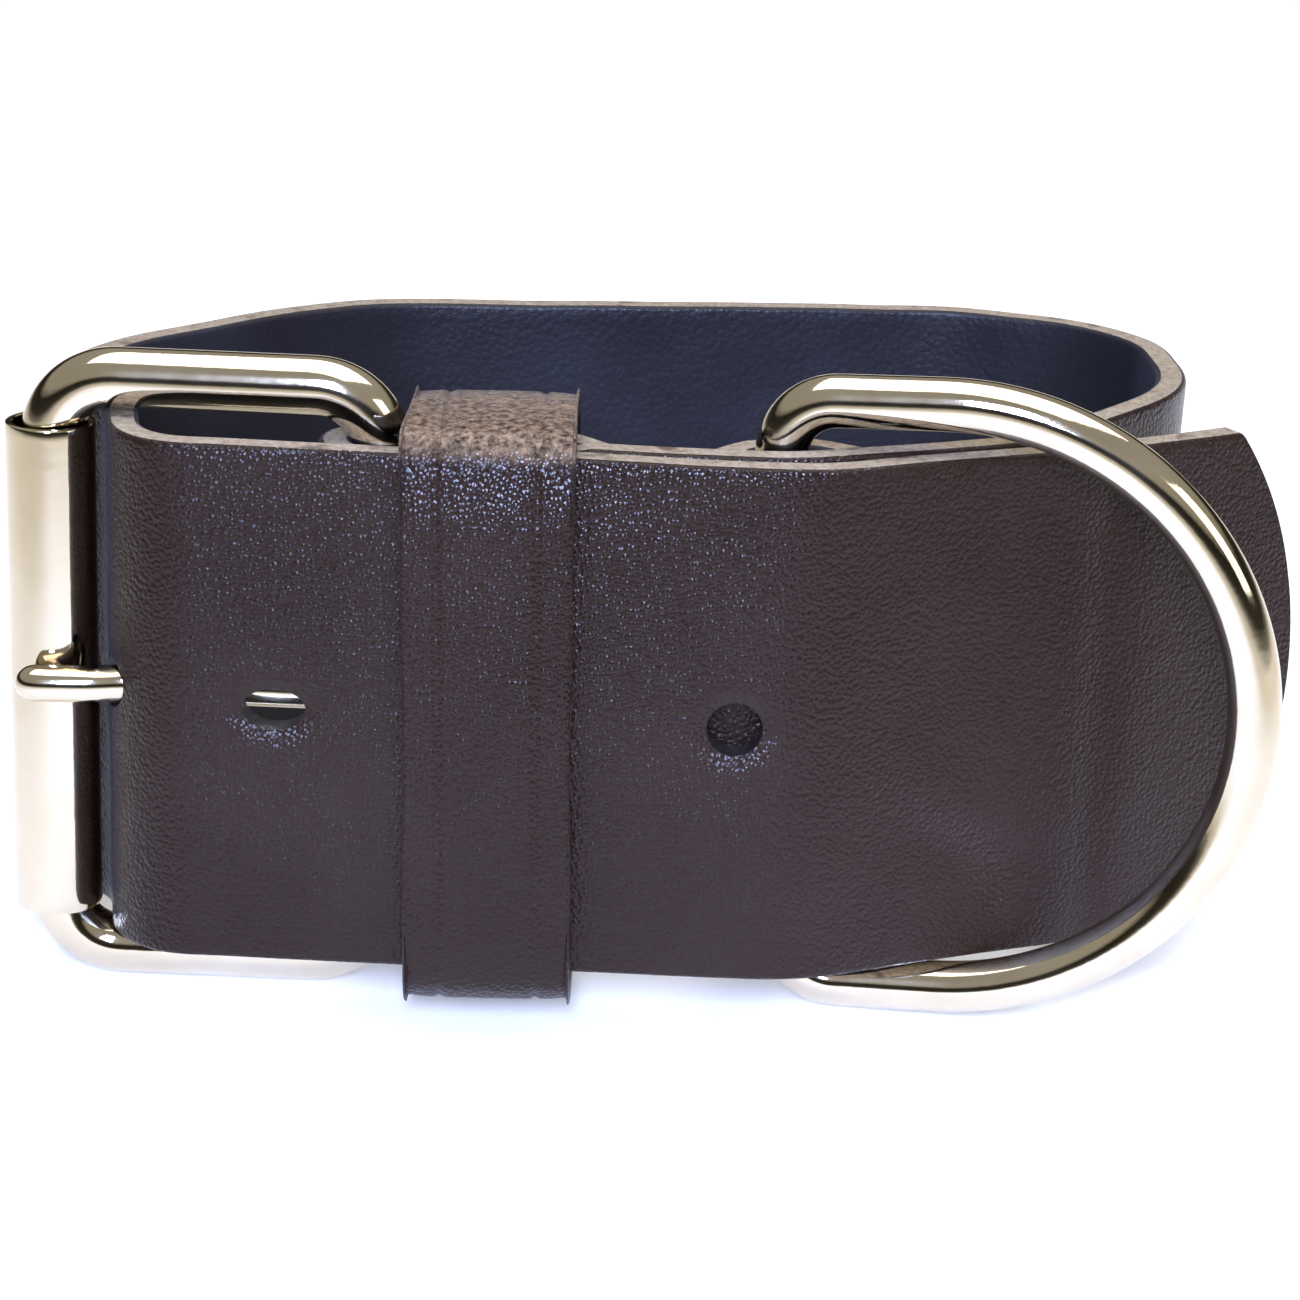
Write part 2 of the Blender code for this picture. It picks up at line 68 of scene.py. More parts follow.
slope = math.radians(strap["frontSlope"])
wall = strap["wall"]
gap = strap["clearance"]
billetMiddle = wall / 2
standMiddle = wall + buckle["prongWire"] + gap - wall / 2
heelDepth = standMiddle + wall / 2 + gap + buckle["wire"] / 2
bendCut = strap["shoulderBend"] * (1 / math.cos(slope / 2) - 1)
ringDepth = standMiddle + wall / 2 + bendCut + gap + ring["wire"] / 2
foldMiddle = heelDepth + buckle["wire"] / 2 + gap + wall / 2
closeMiddle = standMiddle + wall + gap
ringFoldMiddle = ringDepth + ring["wire"] / 2 + gap + wall / 2
leftSide = -strap["loopWidth"] / 2
rollerX = leftSide + buckle["inset"]
heelX = rollerX + buckle["pitch"]
ringX = heelX + ring["offset"]
bendX = ringX + ringDepth * math.tan(slope / 2)
keeperX = heelX + keeperLoop["offset"]
middleHeight = strap["width"] / 2
prongDepth = wall + gap + buckle["prongWire"] / 2


def direction(angle):
    return Vector((math.cos(angle), math.sin(angle)))


def linesMeet(pointA, angleA, pointB, angleB):
    alongA = direction(angleA)
    alongB = direction(angleB)
    return pointA + alongA * ((pointB - pointA).cross(alongB) / alongA.cross(alongB))


def roundedPath(corners, step=math.radians(4.0)):
    points = [corners[0][0]]
    for (before, _), (corner, radius), (after, _) in zip(corners, corners[1:], corners[2:]):
        if not radius:
            points.append(corner)
            continue
        back = (before - corner).normalized()
        on = (after - corner).normalized()
        half = back.angle(on) / 2
        room = 0.49 * min((before - corner).length, (after - corner).length)
        run = min(radius / math.tan(half), room)
        centre = corner + (back + on).normalized() * (run * math.tan(half) / math.sin(half))
        start = corner + back * run - centre
        turn = start.angle_signed(corner + on * run - centre)
        steps = max(2, math.ceil(abs(turn) / step))
        for index in range(steps + 1):
            points.append(centre + Matrix.Rotation(-turn * index / steps, 2) @ start)
    points.append(corners[-1][0])
    return points


def onFront(x, depth):
    return Vector((x, depth))


def onTab(run, depth):
    along = direction(slope)
    return Vector((bendX, 0.0)) + along * run + Vector((-along.y, along.x)) * depth


def atBend(depth):
    return Vector((bendX - depth * math.tan(slope / 2), depth))


foldStart = onFront(keeperX + keeperLoop["width"] / 2, standMiddle)


def strapRoute():
    roller = Vector((rollerX, heelDepth))
    around = buckle["rollerDiameter"] / 2 + buckle["passGap"] + wall / 2
    passAngle = math.radians(strap["passAngle"])
    riseAngle = math.radians(strap["riseAngle"])
    beside = roller + around * Vector((math.sin(passAngle), -math.cos(passAngle)))
    behind = roller + around * Vector((math.sin(riseAngle), -math.cos(riseAngle)))
    sideX = leftSide + wall / 2
    curl = onTab(strap["tabReach"] * strap["tabCurlShare"], billetMiddle)
    tip = curl + direction(slope + math.radians(strap["tabCurl"])) * (
        strap["tabReach"] * (1 - strap["tabCurlShare"]))
    knee = strap["kneeBend"]
    route = [
        (tip, 0.0),
        (curl, strap["tabReach"]),
        (atBend(billetMiddle), strap["shoulderBend"] + wall),
        (linesMeet(atBend(billetMiddle), 0.0, beside, passAngle), knee),
        (linesMeet(beside, passAngle, behind, riseAngle), knee),
        (linesMeet(behind, riseAngle, onFront(sideX, 0.0), math.pi / 2), knee),
    ]
    # Shares of the loop's width and depth, and the bend as a share of its depth
    loopCorners = ((0.012, 0.50, 0.34), (0.205, 0.862, 0.42), (0.800, 1.000, 0.30),
                   (0.985, 0.900, 0.22), (1.000, 0.530, 0.36))
    for across, back, bend in loopCorners:
        place = Vector((sideX + across * (strap["loopWidth"] - wall),
                        wall / 2 + back * (strap["loopDepth"] - wall)))
        route.append((place, bend * strap["loopDepth"]))
    heelWrap = buckle["wire"] / 2 + gap + wall / 2
    dipLeft = ringX - strap["rivetBefore"]
    flat = rivet["head"] / 2 + 2 * gap
    ramp = foldMiddle - closeMiddle
    ringLean = middleHeight * math.sin(math.radians(ring["tilt"]))
    route += [
        (onTab(strap["shoulderRun"], standMiddle), strap["shoulderBend"]),
        (atBend(standMiddle), strap["shoulderBend"]),
        (foldStart, 0.0),
        (onFront(heelX - heelWrap, standMiddle), heelWrap),
        (onFront(heelX - heelWrap, foldMiddle), heelWrap),
        (onFront(dipLeft - flat - ramp, foldMiddle), wall),
        (onFront(dipLeft - flat, closeMiddle), wall),
        (onFront(dipLeft + flat, closeMiddle), wall),
        (onFront(ringX - ring["wire"] / 2 - ringLean, ringFoldMiddle), wall),
        (onTab(bendX - ringX + ring["wire"] / 2 + ringLean, ringFoldMiddle), wall),
        (onTab(strap["rivetAfter"] - flat, closeMiddle), wall),
        (onTab(strap["foldEnd"], closeMiddle), 0.0),
    ]
    return route


class Track:
    """An evenly sampled plan path that gives points and outward normals at any run."""

    def __init__(self, points, closed=False, soften=0, fine=0.25):
        plan = np.array([tuple(point) for point in points])
        if closed:
            plan = np.vstack([plan, plan[:1]])
        runs = np.concatenate([[0.0], np.cumsum(np.hypot(*np.diff(plan, axis=0).T))])
        self.length = float(runs[-1])
        count = int(self.length / fine)
        self.runs = np.linspace(0.0, self.length, count + 1)
        even = np.stack([np.interp(self.runs, runs, plan[:, axis]) for axis in (0, 1)], axis=1)
        self.corners = runs
        for _ in range(soften):
            if closed:
                ring_ = even[:-1]
                ring_ = (np.roll(ring_, 1, 0) + 2 * ring_ + np.roll(ring_, -1, 0)) / 4
                even = np.vstack([ring_, ring_[:1]])
            else:
                even[1:-1] = (even[:-2] + 2 * even[1:-1] + even[2:]) / 4
        self.even = even
        if closed:
            wide = np.vstack([even[-2], even, even[1]])
            slopes = wide[2:] - wide[:-2]
        else:
            slopes = np.gradient(even, axis=0)
        slopes /= np.linalg.norm(slopes, axis=1)[:, None]
        self.normals = np.stack([-slopes[:, 1], slopes[:, 0]], axis=1)

    def at(self, runs):
        place = [np.interp(runs, self.runs, self.even[:, axis]) for axis in (0, 1)]
        facing = [np.interp(runs, self.runs, self.normals[:, axis]) for axis in (0, 1)]
        return np.stack(place, axis=-1), np.stack(facing, axis=-1)


def wave(values, length, seed):
    """A smooth, fixed mix of three sines, about -1 to 1."""
    turn = 2 * math.pi * values / length
    return (np.sin(turn + seed) + 0.6 * np.sin(1.73 * turn + 2.1 * seed)
            + 0.4 * np.sin(2.91 * turn + 3.7 * seed)) / 2.0


def makeObject(name, vertices, faces, materials, slots=None):
    mesh = bpy.data.meshes.new(name)
    mesh.from_pydata([tuple(vertex) for vertex in vertices], [], faces)
    for material in materials:
        mesh.materials.append(material)
    if slots is not None:
        mesh.polygons.foreach_set("material_index", slots)
    mesh.update()
    thing = bpy.data.objects.new(name, mesh)
    bpy.context.scene.collection.objects.link(thing)
    return thing


def columnsAcross(half, fine, coarse, fineHalf):
    """Places across a face from -half to half, closer together near the middle."""
    inner = list(np.arange(-fineHalf, fineHalf + 1e-6, fine))
    count = max(1, round((half - fineHalf) / coarse))
    outer = list(np.linspace(fineHalf, half, count + 1)[1:])
    return [-value for value in reversed(outer)] + inner + outer


def wallProfile(width, thick, radius, columns):
    """Closed profile of a leather wall: (across, outward, kind), kind 0 grain, 1 edge, 2 flesh."""
    half = width / 2
    top = thick / 2
    profile = [(value, top, 0) for value in columns]
    arc = [math.radians(angle) for angle in (22.5, 45.0, 67.5)]
    profile += [(half - radius + radius * math.sin(a), top - radius + radius * math.cos(a), 0)
                for a in arc]
    profile += [(half, level * (top - radius), 1) for level in (1.0, 0.5, 0.0, -0.5, -1.0)]
    profile += [(half - radius + radius * math.cos(a), radius - top - radius * math.sin(a), 2)
                for a in arc]
    profile += [(value, -top, 2) for value in reversed(columns)]
    profile += [(-(half - radius + radius * math.sin(a)), radius - top - radius * math.cos(a), 2)
                for a in arc]
    profile += [(-half, level * (top - radius), 1) for level in (-1.0, -0.5, 0.0, 0.5, 1.0)]
    profile += [(-(half - radius + radius * math.cos(a)), top - radius + radius * math.sin(a), 0)
                for a in arc]
    return profile


def leatherWall(name, track, stations, profile, closed, materials, place, shape):
    """A leather ribbon along a track. shape moves the runs, the across and the outward values."""
    across = np.array([item[0] for item in profile])
    outward = np.array([item[1] for item in profile])
    kinds = [item[2] for item in profile]
    runs = np.repeat(np.array(stations)[:, None], len(profile), axis=1)
    across = np.repeat(across[None, :], len(stations), axis=0)
    outward = np.repeat(outward[None, :], len(stations), axis=0)
    runs, across, outward = shape(runs, across, outward)
    points, normals = track.at(runs)
    plan = points + normals * outward[..., None]
    vertices = np.stack([plan[..., 0], plan[..., 1], across], axis=-1).reshape(-1, 3)
    count = len(profile)
    faces = []
    slots = []
    rows = len(stations)
    for row in range(rows if closed else rows - 1):
        following = (row + 1) % rows
        for column in range(count):
            side = (column + 1) % count
            faces.append((row * count + column, row * count + side,
                          following * count + side, following * count + column))
            pair = (kinds[column], kinds[side])
            slots.append(pair[0] if pair[0] == pair[1] else min(pair) if 1 in pair and 0 in pair else 2)
    if not closed:
        faces.append(tuple(reversed(range(count))))
        faces.append(tuple(range((rows - 1) * count, rows * count)))
        slots += [1, 1]
    moved = [place @ Vector(vertex) for vertex in vertices]
    thing = makeObject(name, moved, faces, materials, slots)
    mesh = bmesh.new()
    mesh.from_mesh(thing.data)
    bmesh.ops.recalc_face_normals(mesh, faces=mesh.faces)
    mesh.to_mesh(thing.data)
    mesh.free()
    return thing


def smoothShade(thing, angle=38.0):
    thing.data.shade_smooth()
    thing.data.set_sharp_from_angle(angle=math.radians(angle))


def cutWith(thing, cutters):
    """Cuts the cutters' joined mesh out of a piece, for good."""
    change = thing.modifiers.new("cut", "BOOLEAN")
    change.operation = "DIFFERENCE"
    change.solver = "EXACT"
    change.object = cutters
    bpy.context.view_layer.update()
    shape = thing.evaluated_get(bpy.context.evaluated_depsgraph_get())
    mesh = bpy.data.meshes.new_from_object(shape)
    thing.modifiers.clear()
    old = thing.data
    thing.data = mesh
    bpy.data.meshes.remove(old)
    bpy.data.objects.remove(cutters)


def tube(name, points, radii, closed, material, place, sides=28):
    """A round wire through 3-D points, capped flat where it is open."""
    line = np.array([tuple(point) for point in points], dtype=float)
    count = len(line)
    if closed:
        slopes = np.roll(line, -1, 0) - np.roll(line, 1, 0)
    else:
        slopes = np.gradient(line, axis=0)
    slopes /= np.linalg.norm(slopes, axis=1)[:, None]
    up = Vector((0.0, 0.0, 1.0)) if abs(slopes[0][2]) < 0.7 else Vector((0.0, 1.0, 0.0))
    vertices = []
    for index in range(count):
        along = Vector(slopes[index])
        side = up.cross(along).normalized()
        up = along.cross(side).normalized()
        for step in range(sides):
            turn = 2 * math.pi * step / sides
            offset = (side * math.cos(turn) + up * math.sin(turn)) * radii[index]
            vertices.append(place @ (Vector(line[index]) + offset))
    faces = []
    for row in range(count if closed else count - 1):
        following = (row + 1) % count
        for step in range(sides):
            beside = (step + 1) % sides
            faces.append((row * sides + step, row * sides + beside,
                          following * sides + beside, following * sides + step))
    if not closed:
        faces.append(tuple(reversed(range(sides))))
        faces.append(tuple(range((count - 1) * sides, count * sides)))
    thing = makeObject(name, vertices, faces, [material])
    smoothShade(thing, 50.0)
    return thing


def turned(name, profile, material, place, steps=64):
    """A solid turned about its z axis from (radius, z) pairs."""
    vertices = []
    for radius, level in profile:
        for step in range(steps):
            turn = 2 * math.pi * step / steps
            vertices.append(place @ Vector((radius * math.cos(turn), radius * math.sin(turn), level)))
    faces = []
    for row in range(len(profile) - 1):
        for step in range(steps):
            beside = (step + 1) % steps
            faces.append((row * steps + step, row * steps + beside,
                          (row + 1) * steps + beside, (row + 1) * steps + step))
    thing = makeObject(name, vertices, faces, [material])
    mesh = bmesh.new()
    mesh.from_mesh(thing.data)
    bmesh.ops.remove_doubles(mesh, verts=mesh.verts, dist=1e-7)
    bmesh.ops.recalc_face_normals(mesh, faces=mesh.faces)
    mesh.to_mesh(thing.data)
    mesh.free()
    smoothShade(thing, 40.0)
    return thing


def roundedRectangle(half, corner, step=3.0):
    """Closed plan points of a rectangle with the given half sizes, from the middle of its foot."""
    start = Vector((0.0, -half.y))
    outline = [(start, 0.0)]
    for across, up in ((-1, -1), (-1, 1), (1, 1), (1, -1)):
        outline.append((Vector((across * half.x, up * half.y)), corner))
    outline.append((start, 0.0))
    return roundedPath(outline, math.radians(step))[:-1]


# Materials


def newMaterial(name):
    material = bpy.data.materials.new(name)
    material.use_nodes = True
    tree = material.node_tree
    return material, tree.nodes, tree.links, tree.nodes["Principled BSDF"]


def addNode(nodes, kind, **values):
    node = nodes.new(kind)
    for key, value in values.items():
        if hasattr(node, key):
            setattr(node, key, value)
        else:
            node.inputs[key].default_value = value
    return node


def ramp(nodes, stops):
    node = nodes.new("ShaderNodeValToRGB")
    elements = node.color_ramp.elements
    while len(elements) < len(stops):
        elements.new(0.5)
    for element, (place, colour) in zip(elements, stops):
        element.position = place
        element.color = (*colour, 1.0)
    return node


def leatherMaterial(name, look):
    """Finished leather: two tones, a pebbled grain and fine pores, with soft rubbed places."""
    material, nodes, links, shader = newMaterial(name)
    place = nodes.new("ShaderNodeTexCoord")
    tone = addNode(nodes, "ShaderNodeTexNoise", Scale=look["toneScale"], Detail=3.0, Roughness=0.6)
    links.new(place.outputs["Object"], tone.inputs["Vector"])
    colours = ramp(nodes, [(0.35, look["darkTone"]), (0.68, look["lightTone"])])
    links.new(tone.outputs["Fac"], colours.inputs["Fac"])
    links.new(colours.outputs["Color"], shader.inputs["Base Color"])
    # Above a given height the keeper's top is painted brown-gold: partly worn fibres, partly a painted highlight of
    # the top light falling on it.
    if "wornAndToplitTone" in look:
        height = nodes.new("ShaderNodeSeparateXYZ")
        links.new(place.outputs["Object"], height.inputs["Vector"])
        wornAndToplitMask = addNode(nodes, "ShaderNodeMapRange", interpolation_type="SMOOTHSTEP")
        for socket, value in zip(("From Min", "From Max"), look["wornAndToplitHeights"]):
            wornAndToplitMask.inputs[socket].default_value = value
        links.new(height.outputs["Z"], wornAndToplitMask.inputs["Value"])
        fibres = addNode(nodes, "ShaderNodeTexNoise", Scale=1400.0, Detail=4.0, Roughness=0.7)
        links.new(place.outputs["Object"], fibres.inputs["Vector"])
        wornAndToplitColour = ramp(nodes, [(0.36, look["lightTone"]), (0.66, look["wornAndToplitTone"])])
        links.new(fibres.outputs["Fac"], wornAndToplitColour.inputs["Fac"])
        blend = addNode(nodes, "ShaderNodeMix", data_type="RGBA")
        links.new(wornAndToplitMask.outputs["Result"], blend.inputs[0])
        links.new(colours.outputs["Color"], blend.inputs[6])
        links.new(wornAndToplitColour.outputs["Color"], blend.inputs[7])
        links.new(blend.outputs[2], shader.inputs["Base Color"])
    grain = addNode(nodes, "ShaderNodeTexVoronoi", feature="F1", Scale=look["grainScale"],
                    Randomness=1.0)
    links.new(place.outputs["Object"], grain.inputs["Vector"])
    pores = addNode(nodes, "ShaderNodeTexNoise", Scale=look["poreScale"], Detail=1.0, Roughness=0.6)
    links.new(place.outputs["Object"], pores.inputs["Vector"])
    broad = addNode(nodes, "ShaderNodeTexNoise", Scale=look["broadScale"], Detail=1.0, Roughness=0.5)
    links.new(place.outputs["Object"], broad.inputs["Vector"])
    first = addNode(nodes, "ShaderNodeBump", Strength=look["broadStrength"], Distance=0.0004)
    links.new(broad.outputs["Fac"], first.inputs["Height"])
    second = addNode(nodes, "ShaderNodeBump", Strength=look["grainStrength"], Distance=0.00012,
                     invert=True)
    links.new(grain.outputs["Distance"], second.inputs["Height"])
    links.new(first.outputs["Normal"], second.inputs["Normal"])
    third = addNode(nodes, "ShaderNodeBump", Strength=look["poreStrength"], Distance=0.00005)
    links.new(pores.outputs["Fac"], third.inputs["Height"])
    links.new(second.outputs["Normal"], third.inputs["Normal"])
    links.new(third.outputs["Normal"], shader.inputs["Normal"])
    gloss = ramp(nodes, [(0.3, (look["glossy"],) * 3), (0.75, (look["dull"],) * 3)])
    links.new(tone.outputs["Fac"], gloss.inputs["Fac"])
    # The face is rubbed smoother round one place beside the keeper
    away = addNode(nodes, "ShaderNodeVectorMath", operation="DISTANCE")
    links.new(place.outputs["Object"], away.inputs[0])
    away.inputs[1].default_value = look["rubbedAt"]
    rubbed = addNode(nodes, "ShaderNodeMapRange", interpolation_type="SMOOTHSTEP")
    for socket, value in zip(("From Min", "From Max", "To Min", "To Max"), (0.0, 0.045, 0.72, 1.0)):
        rubbed.inputs[socket].default_value = value
    links.new(away.outputs["Value"], rubbed.inputs["Value"])
    polish = addNode(nodes, "ShaderNodeMath", operation="MULTIPLY")
    links.new(gloss.outputs["Color"], polish.inputs[0])
    links.new(rubbed.outputs["Result"], polish.inputs[1])
    links.new(polish.outputs["Value"], shader.inputs["Roughness"])
    shader.inputs["Specular IOR Level"].default_value = look["specular"]
    shader.inputs["Sheen Weight"].default_value = look["sheen"]
    shader.inputs["Sheen Roughness"].default_value = 0.4
    shader.inputs["Sheen Tint"].default_value = (0.72, 0.78, 1.0, 1.0)
    return material


def edgeMaterial(name, look):
    """A cut leather edge: tan fibres with paler and darker flecks."""
    material, nodes, links, shader = newMaterial(name)
    place = nodes.new("ShaderNodeTexCoord")
    flecks = addNode(nodes, "ShaderNodeTexNoise", Scale=look["fleckScale"], Detail=6.0, Roughness=0.7)
    links.new(place.outputs["Object"], flecks.inputs["Vector"])
    colours = ramp(nodes, [(0.30, look["dark"]), (0.48, look["middle"]), (0.72, look["pale"])])
    links.new(flecks.outputs["Fac"], colours.inputs["Fac"])
    stain = addNode(nodes, "ShaderNodeTexNoise", Scale=look["stainScale"], Detail=3.0, Roughness=0.55)
    links.new(place.outputs["Object"], stain.inputs["Vector"])
    spots = ramp(nodes, [(0.30, (0.25, 0.2, 0.16)), (0.42, (1.0, 1.0, 1.0))])
    links.new(stain.outputs["Fac"], spots.inputs["Fac"])
    mix = addNode(nodes, "ShaderNodeMix", data_type="RGBA", blend_type="MULTIPLY")
    mix.inputs["Factor"].default_value = 0.85
    links.new(colours.outputs["Color"], mix.inputs["A"])
    links.new(spots.outputs["Color"], mix.inputs["B"])
    links.new(mix.outputs["Result"], shader.inputs["Base Color"])
    bump = addNode(nodes, "ShaderNodeBump", Strength=0.6, Distance=0.0002)
    links.new(flecks.outputs["Fac"], bump.inputs["Height"])
    links.new(bump.outputs["Normal"], shader.inputs["Normal"])
    shader.inputs["Roughness"].default_value = look["roughness"]
    shader.inputs["Specular IOR Level"].default_value = look["specular"]
    return material


def metalMaterial(name, look):
    """Bright plated wire: faint clouds in tone and gloss, and a fine noise bump."""
    material, nodes, links, shader = newMaterial(name)
    place = nodes.new("ShaderNodeTexCoord")
    clouds = addNode(nodes, "ShaderNodeTexNoise", Scale=look["cloudScale"], Detail=4.0, Roughness=0.6)
    links.new(place.outputs["Object"], clouds.inputs["Vector"])
    colours = ramp(nodes, [(0.35, look["darkTone"]), (0.70, look["lightTone"])])
    links.new(clouds.outputs["Fac"], colours.inputs["Fac"])
    links.new(colours.outputs["Color"], shader.inputs["Base Color"])
    gloss = ramp(nodes, [(0.35, (look["glossy"],) * 3), (0.75, (look["dull"],) * 3)])
    links.new(clouds.outputs["Fac"], gloss.inputs["Fac"])
    links.new(gloss.outputs["Color"], shader.inputs["Roughness"])
    peel = addNode(nodes, "ShaderNodeTexNoise", Scale=look["peelScale"], Detail=2.0, Roughness=0.5)
    links.new(place.outputs["Object"], peel.inputs["Vector"])
    bump = addNode(nodes, "ShaderNodeBump", Strength=look["peelStrength"], Distance=0.0002)
    links.new(peel.outputs["Fac"], bump.inputs["Height"])
    links.new(bump.outputs["Normal"], shader.inputs["Normal"])
    shader.inputs["Metallic"].default_value = 1.0
    return material


grainLook = {"toneScale": 28.0, "darkTone": (0.012, 0.0045, 0.003), "lightTone": (0.019, 0.009, 0.007),
             "grainScale": 2300.0, "grainStrength": 1.0, "poreScale": 6500.0, "poreStrength": 0.35,
             "broadScale": 190.0, "broadStrength": 0.25, "glossy": 0.27, "dull": 0.38,
             "specular": 0.25, "sheen": 0.03, "rubbedAt": (-0.002, -0.031, 0.052)}
fleshLook = {"toneScale": 22.0, "darkTone": (0.012, 0.011, 0.014), "lightTone": (0.022, 0.021, 0.028),
             "grainScale": 1500.0, "grainStrength": 0.4, "poreScale": 5200.0, "poreStrength": 0.5,
             "broadScale": 160.0, "broadStrength": 0.3, "glossy": 0.40, "dull": 0.60,
             "specular": 0.25, "sheen": 0.03, "rubbedAt": (0.0, 0.03, 0.05)}
edgeLook = {"fleckScale": 1500.0, "stainScale": 260.0, "dark": (0.17, 0.12, 0.08),
            "middle": (0.31, 0.245, 0.175), "pale": (0.46, 0.385, 0.30), "roughness": 0.62,
            "specular": 0.35}
burnishedLook = {"fleckScale": 1500.0, "stainScale": 300.0, "dark": (0.012, 0.008, 0.006),
                 "middle": (0.032, 0.021, 0.015), "pale": (0.12, 0.085, 0.055), "roughness": 0.5,
                 "specular": 0.4}
holeLook = {"fleckScale": 1800.0, "stainScale": 420.0, "dark": (0.004, 0.004, 0.004),
            "middle": (0.012, 0.011, 0.011), "pale": (0.03, 0.027, 0.025), "roughness": 0.34,
            "specular": 0.6}
nickelLook = {"cloudScale": 60.0, "darkTone": (0.64, 0.56, 0.43), "lightTone": (0.75, 0.68, 0.56),
              "glossy": 0.06, "dull": 0.12, "peelScale": 700.0, "peelStrength": 0.06}
steelLook = {"cloudScale": 120.0, "darkTone": (0.56, 0.54, 0.50), "lightTone": (0.68, 0.66, 0.62),
             "glossy": 0.20, "dull": 0.32, "peelScale": 1500.0, "peelStrength": 0.15}

grain = leatherMaterial("grainLeather", grainLook)
# The keeper's leather adds the brown-gold top band: worn fibres and painted top light together.
keeperGrain = leatherMaterial("keeperLeather", {**grainLook, "wornAndToplitTone": (0.30, 0.20, 0.125),
                                                "wornAndToplitHeights": (0.0568, 0.0590)})
flesh = leatherMaterial("innerLeather", fleshLook)
rawEdge = edgeMaterial("rawEdge", edgeLook)
holeEdge = edgeMaterial("holeEdge", holeLook)
burnished = edgeMaterial("burnishedEdge", burnishedLook)
nickel = metalMaterial("polishedNickel", nickelLook)
steel = metalMaterial("rivetNickel", steelLook)
leathers = [grain, rawEdge, flesh, holeEdge]
keeperLeathers = [keeperGrain, burnished, flesh, holeEdge]
print("materials made")


# Strap

route = strapRoute()
strapTrack = Track(roundedPath(route), soften=24)
billetEnd = 3.0 * middleHeight + 60.0


def runNear(point, low, high):
    """The run on the strap's track that comes nearest to a plan point, between two runs."""
    mask = (strapTrack.runs >= low) & (strapTrack.runs <= high)
    away = np.hypot(*(strapTrack.even[mask] - np.array(tuple(point))).T)
    return float(strapTrack.runs[mask][np.argmin(away)])


frontHoles = [(runNear((x, billetMiddle), 20.0, billetEnd), 0.0) for x in strap["holes"]]
trimRun = runNear(foldStart, strapTrack.length - 140.0, strapTrack.length - 80.0)
keeperRun = runNear((keeperX, billetMiddle), 20.0, billetEnd)


def strapShape(runs, across, outward):
    ease = np.clip(1.0 - runs / 24.0, 0.0, 1.0)
    tipBack = strap["tipRadius"] - np.sqrt(strap["tipRadius"] ** 2 - across ** 2)
    outer = outward > wall / 2 - 0.01
    newRuns = runs + tipBack * ease
    grow = np.clip((runs - trimRun) / 3.0, 0.0, 1.0)
    across = across * (1.0 - grow * 2 * strap["foldTrim"] / strap["width"])
    half = middleHeight
    sideways = 0.08 * wave(newRuns, 37.0, 1.3) * np.abs(across) / half
    outward = outward + 0.05 * wave(newRuns, 23.0, 0.4) * wave(across, 19.0, 2.0)
    billet = newRuns < billetEnd
    crease = strap["creaseDepth"] * np.exp(-((np.abs(across) - (half - strap["creaseInset"])) / 0.3) ** 2)
    outward = outward - np.where(outer & billet, crease, 0.0)
    # The soft dent across the tab
    dent = strap["dentDepth"] * np.exp(-((newRuns - strap["dentRun"] - 0.02 * across)
                                         / strap["dentWidth"]) ** 2)
    outward = outward - dent
    beside = np.clip(1.0 - (keeperRun - 8.0 - newRuns) / 15.0, 0.0, 1.0)
    beside = np.where(newRuns < keeperRun, beside, 0.0) ** 2 * np.clip(across / half, 0.0, 1.0) ** 2
    outward = outward - 0.55 * np.clip(beside, 0.0, 1.0)
    for index, (run, level) in enumerate(frontHoles):
        length = strap["wornLength"] if index == 0 else strap["holeWidth"]
        height = strap["wornHeight"] if index == 0 else strap["holeWidth"]
        reach = np.hypot((newRuns - run) / (length / 2), (across - level) / (height / 2))
        dish = np.clip((1.75 - reach) / 0.75, 0.0, 1.0) ** 2
        outward = outward - np.where(outer & billet, 0.42 * dish, 0.0)
    return newRuns, across + sideways, outward


stations = [0.0]
while stations[-1] < strapTrack.length:
    run = stations[-1]
    near = min(abs(run - hole) for hole, _ in frontHoles)
    step = 0.45 if near < 6.0 else 0.8 if run < billetEnd else 1.25
    stations.append(run + step)
stations[-1] = strapTrack.length
if stations[-1] - stations[-2] < 0.2:
    stations.pop(-2)
faceHalf = middleHeight - strap["edgeRound"]
strapProfile = wallProfile(strap["width"], wall, strap["edgeRound"],
                           columnsAcross(faceHalf, 0.5, 1.15, 5.0))
strapPlace = toWorld @ Matrix.Translation((0.0, 0.0, middleHeight))
strapFine = leatherWall("strapFine", strapTrack, stations, strapProfile, False, leathers,
                        strapPlace, strapShape)


def punch(mesh, sizeX, sizeZ, length, place, angle, segments=56):
    turn = Matrix.Rotation(angle, 4, "Z") @ Matrix.Rotation(math.pi / 2, 4, "X")
    size = Matrix.Diagonal((sizeX, sizeZ, length, 1.0))
    bmesh.ops.create_cone(mesh, cap_ends=True, segments=segments, radius1=0.5, radius2=0.5, depth=1.0,
                          matrix=toWorld @ Matrix.Translation(place) @ turn @ size)


